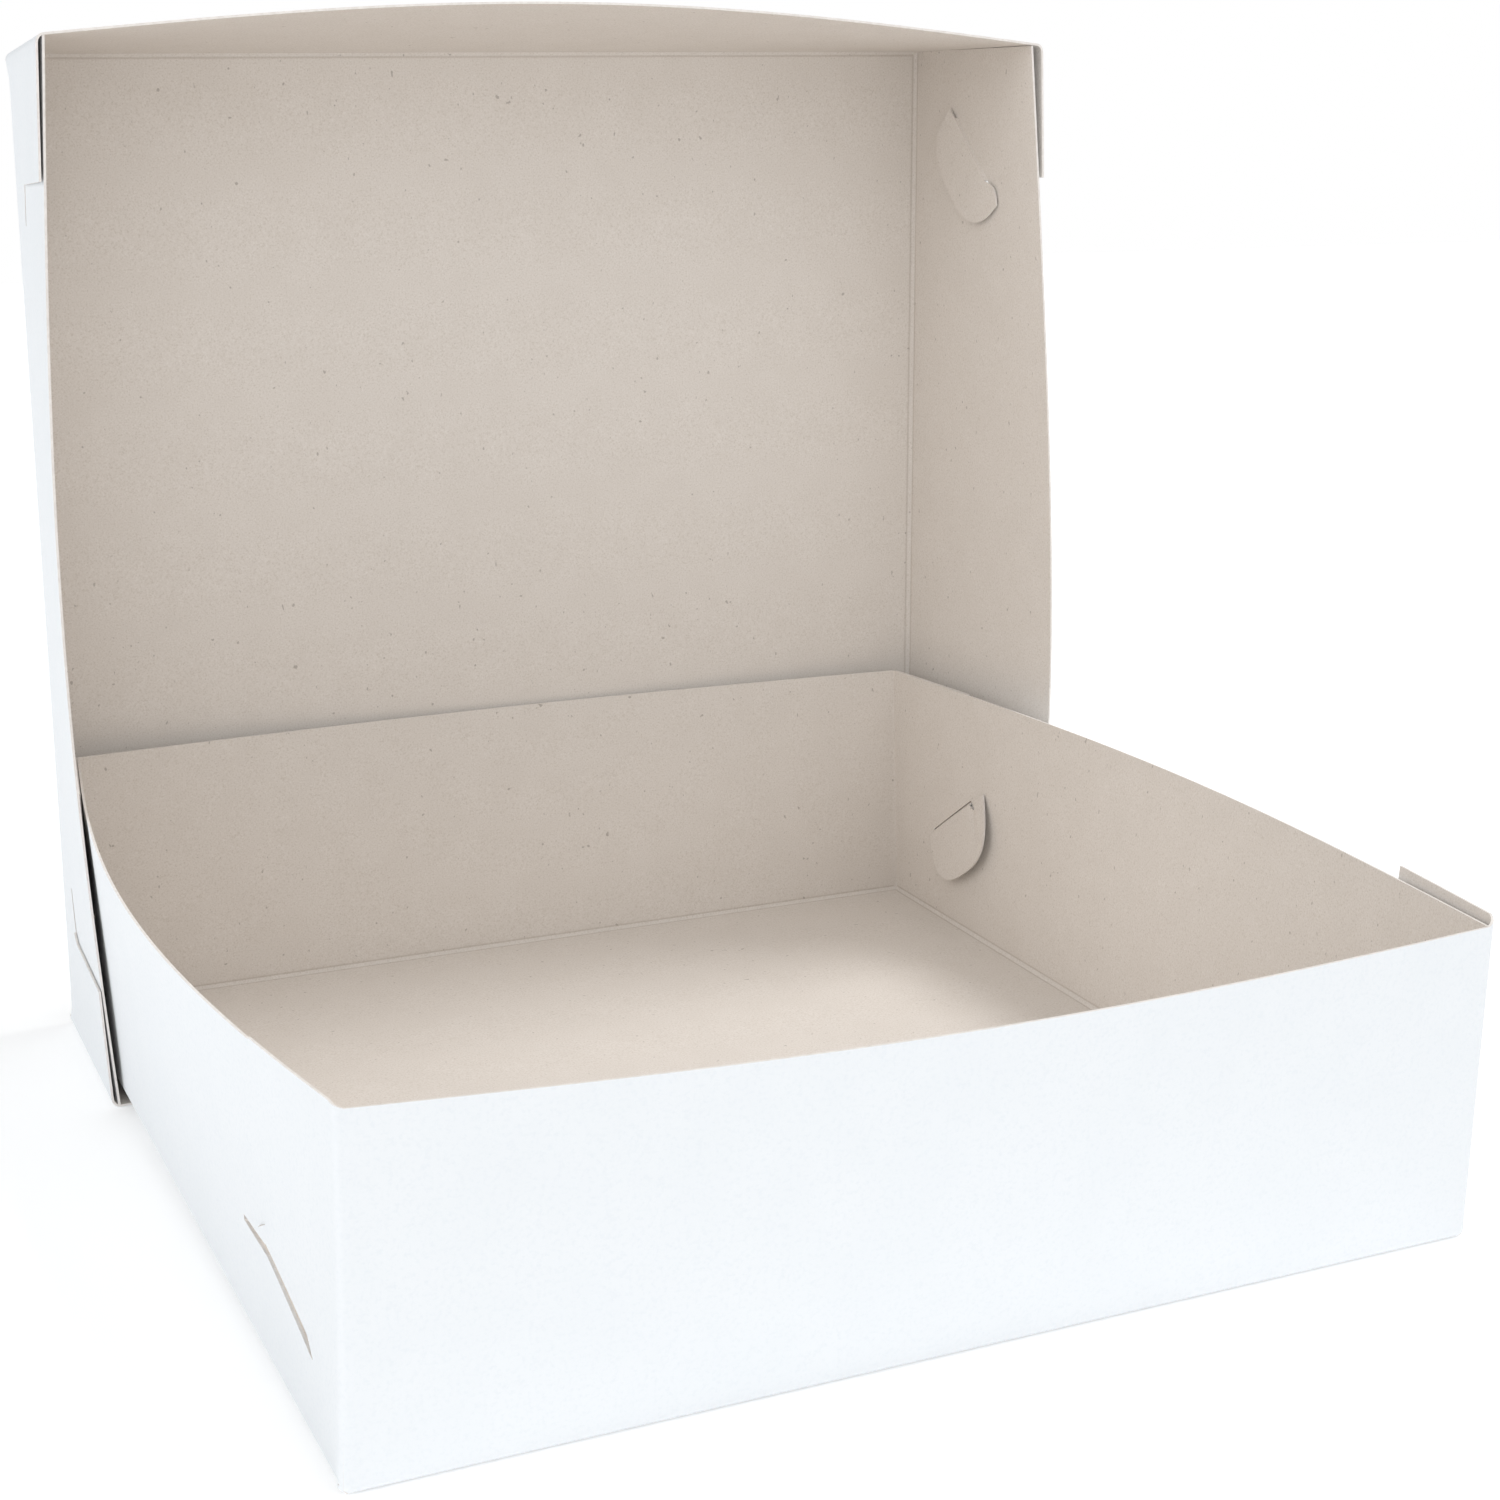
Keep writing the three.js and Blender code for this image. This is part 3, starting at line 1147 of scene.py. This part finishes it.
    def build(self, finishes: list[bpy.types.Material]) -> bpy.types.Object:
        """Folds the tray and gives the sheet its thickness and finishes.

        Args:
            finishes: Materials for the coated face, the inner face and the cut edge.

        Returns:
            The finished tray, riding on the body and standing for its solid.
        """
        blank = Blank(self.name)
        self.lay_floor(blank)
        for end in End:
            self.lay_end(blank, end)
            for side in Side:
                self.lay_ear(blank, end, side)
                self.lay_heel(blank, end, side)
                self.lay_hook(blank, end, side)
        for side in Side:
            self.lay_side(blank, side)
        sheet = blank.joined()
        sheet.data.transform(self.placement)
        sheet.data.materials.clear()
        for finish in finishes:
            sheet.data.materials.append(finish)
        solid = sheet.modifiers.new("board", "SOLIDIFY")
        solid.thickness = self.board.thickness * MM
        solid.offset = -1
        solid.use_even_offset = True
        solid.thickness_clamp = 0.0
        solid.material_offset = Face.INNER.value
        solid.material_offset_rim = Face.EDGE.value
        make_active(sheet)
        bpy.ops.object.modifier_apply(modifier=solid.name)
        bpy.ops.object.shade_smooth_by_angle(angle=SMOOTH_ANGLE)
        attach(sheet, "root")
        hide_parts(self.node)
        LOG.info("%s: %d faces", sheet.name, len(sheet.data.polygons))
        return sheet


def placed(turn: float, x: float, y: float, z: float) -> Matrix:
    """Returns the place of a tray, from its turn about X and its middle in millimetres."""
    return Matrix.Translation(Vector((x, y, z)) * MM) @ Matrix.Rotation(turn, 4, "X")


def base_tray() -> Tray:
    """Describes the base, which lies on its floor with its back end a little raised.

    Returns:
        The base.
    """
    return Tray(
        name="base_sheet",
        node="base_tray",
        width=228.6,
        depth=228.6,
        height=64.1,
        ends={
            End.FRONT: Wall(start=-6.3, end=-1.4, bow=9),
            End.BACK: Wall(start=-2.6, end=-0.8, bow=4.5),
        },
        sides={
            Side.LEFT: Wall(start=-4, end=-3.3, bow=12.2, peak=0.48),
            Side.RIGHT: Wall(start=0.3, end=-3.8, bow=9),
        },
        locks={
            (End.FRONT, Side.LEFT): CornerLock(
                ear_length=34.0,
                ear_top=31.6,
                ear_shoulder=31.0,
                ear_rise=1.0,
                spring=(0.0, 0.0),
                slit_start=(16.6, 19.5),
                slit_length=25.5,
                slit_angle=math.radians(18.6),
                slit_band=(-0.1, 4.6),
                slit_spread=(0.3, 0.2),
                slit_tail=12.0,
                hook_gap=1.8,
                hook_length=38.0,
                notch=0.0,
            ),
            (End.FRONT, Side.RIGHT): CornerLock(ear_rise=1.8, spring=(0.9, 1.6)),
            (End.BACK, Side.LEFT): CornerLock(),
            (End.BACK, Side.RIGHT): CornerLock(),
        },
        placement=placed(turn=math.radians(1), x=-2.132, y=0.604, z=1.995),
    )


def lid_tray() -> Tray:
    """Describes the lid, which stands behind the base on its lower wall.

    Returns:
        The lid.
    """
    lean = math.radians(0.9)
    height = 58.0
    level = height * math.tan(lean)
    right = CornerLock(
        slit_start=(17.0, 22.5),
        slit_length=20.5,
        slit_angle=math.radians(41.5),
        slit_spread=(0.3, 0.2),
        hook_overhang=3.3,
        hook_length=31.6,
        hook_depth=13.4,
        hook_gap=0.35,
        hook_lift=0.8,
        barb_rise=2.0,
        notch=0.0,
    )
    left = CornerLock(
        ear_length=29.6,
        ear_top=29.6,
        ear_shoulder=24.0,
        slit_start=(17.5, 17.2),
        slit_length=12.4,
        slit_angle=math.radians(16),
        slit_band=(-0.1, 1.6),
        slit_spread=(0.3, 0.2),
        slit_tail=9.0,
        tail_drop=2.0,
        hook_overhang=1.2,
        hook_length=28.0,
        hook_depth=10.0,
        hook_gap=1.0,
        hook_lift=0.3,
        notch=0.0,
    )
    return Tray(
        name="lid_sheet",
        node="lid_tray",
        width=233.7,
        depth=231.0,
        height=height,
        ends={
            End.FRONT: Wall(start=level, end=level, bow=0),
            End.BACK: Wall(start=0.4, end=0.4, bow=7.7, foot=(-1.0, 1.4)),
        },
        sides={
            Side.LEFT: Wall(start=0.2, end=1.9, bow=4.8, peak=0.48),
            Side.RIGHT: Wall(start=2, end=-1.1, bow=8, peak=0.35),
        },
        locks={
            (End.FRONT, Side.LEFT): replace(left, ear_length=27.5, ear_top=27.5, spring=(0.8, 0.1)),
            (End.FRONT, Side.RIGHT): right,
            (End.BACK, Side.LEFT): replace(left, spring=(0.8, 0.4)),
            (End.BACK, Side.RIGHT): replace(right, spring=(2.3, 0.8)),
        },
        placement=placed(turn=math.pi / 2 - lean, x=-0.882, y=118.836, z=115.486),
    )


# --- studio


@dataclass(frozen=True)
class Lamp:
    """A distant soft light, by where it stands in the sky, in degrees."""

    name: str
    elevation: float
    azimuth: float
    spread: float
    power: float

    def build(self) -> None:
        """Hangs the light, aimed at the object."""
        lamp = bpy.data.lights.new(self.name, "SUN")
        lamp.energy = self.power
        lamp.angle = math.radians(self.spread)
        holder = bpy.data.objects.new(self.name, lamp)
        bpy.context.scene.collection.objects.link(holder)
        tilt, turn = math.radians(90 - self.elevation), math.radians(self.azimuth + 90)
        holder.rotation_euler = (tilt, 0, turn)


@dataclass
class Studio:
    """The pale floor, the soft lights and the camera."""

    floor_size: float = 6.0
    floor_drop: float = 0.3 * MM
    world: float = 0.47
    lamps: tuple[Lamp, ...] = (
        Lamp("overhead", elevation=62, azimuth=-8, spread=20, power=1.25),
        Lamp("front", elevation=32, azimuth=-104, spread=70, power=0.50),
        Lamp("left", elevation=24, azimuth=-172, spread=45, power=0.86),
        Lamp("front_right", elevation=35, azimuth=-60, spread=50, power=0.30),
    )
    camera_place: tuple[float, float, float] = (-0.20744, -0.44866, 0.21384)
    camera_yaw: float = math.radians(23.552)
    camera_pitch: float = math.radians(13.686)
    camera_roll: float = math.radians(-0.196)
    lens: float = 57.54
    sensor_width: float = 36.0
    clip_start: float = 0.01
    shift: tuple[float, float] = (0.0626, -0.0284)

    def build(self) -> None:
        """Makes the floor, the world, the lights and the camera."""
        self.lay_floor()
        self.light()
        self.set_camera()

    def lay_floor(self) -> None:
        """Lays the wide plain floor."""
        deselect_all()
        bpy.ops.mesh.primitive_plane_add(size=self.floor_size, location=(0, 0, -self.floor_drop))
        bpy.ops.object.transform_apply(location=True, rotation=False, scale=False)
        floor = bpy.context.object
        floor.name = "floor"
        floor.data.materials.append(StudioFloor().material())

    def light(self) -> None:
        """Adds the world's even light, on a white backdrop, and the lamps."""
        world = bpy.data.worlds.new("studio")
        world.use_nodes = True
        nodes, links = world.node_tree.nodes, world.node_tree.links
        background = nodes["Background"]
        background.inputs["Color"].default_value = WHITE
        seen = nodes.new("ShaderNodeLightPath")
        strength = nodes.new("ShaderNodeMapRange")
        strength.inputs["To Min"].default_value = self.world
        strength.inputs["To Max"].default_value = 1.0
        links.new(seen.outputs["Is Camera Ray"], strength.inputs["Value"])
        links.new(strength.outputs["Result"], background.inputs["Strength"])
        bpy.context.scene.world = world
        for lamp in self.lamps:
            lamp.build()

    def set_camera(self) -> None:
        """Sets the camera at the photograph's angle."""
        lens = bpy.data.cameras.new("camera")
        lens.lens = self.lens
        lens.sensor_width = self.sensor_width
        lens.sensor_fit = "HORIZONTAL"
        lens.shift_x, lens.shift_y = self.shift
        lens.clip_start = self.clip_start
        camera = bpy.data.objects.new("camera", lens)
        bpy.context.scene.collection.objects.link(camera)
        camera.location = self.camera_place
        aim = Euler((math.pi / 2 - self.camera_pitch, 0, -self.camera_yaw)).to_matrix()
        camera.rotation_euler = (aim @ Matrix.Rotation(self.camera_roll, 3, "Z")).to_euler()
        bpy.context.scene.camera = camera
        bpy.context.scene.view_settings.view_transform = "Standard"


def main() -> None:
    """Builds the trays, then the studio round them."""
    finishes = [CoatedWhite().material(), InnerBoard().material(), CutEdge().material()]
    base_tray().build(finishes)
    lid_tray().build(finishes)
    Studio().build()


if __name__ == "__main__":
    main()
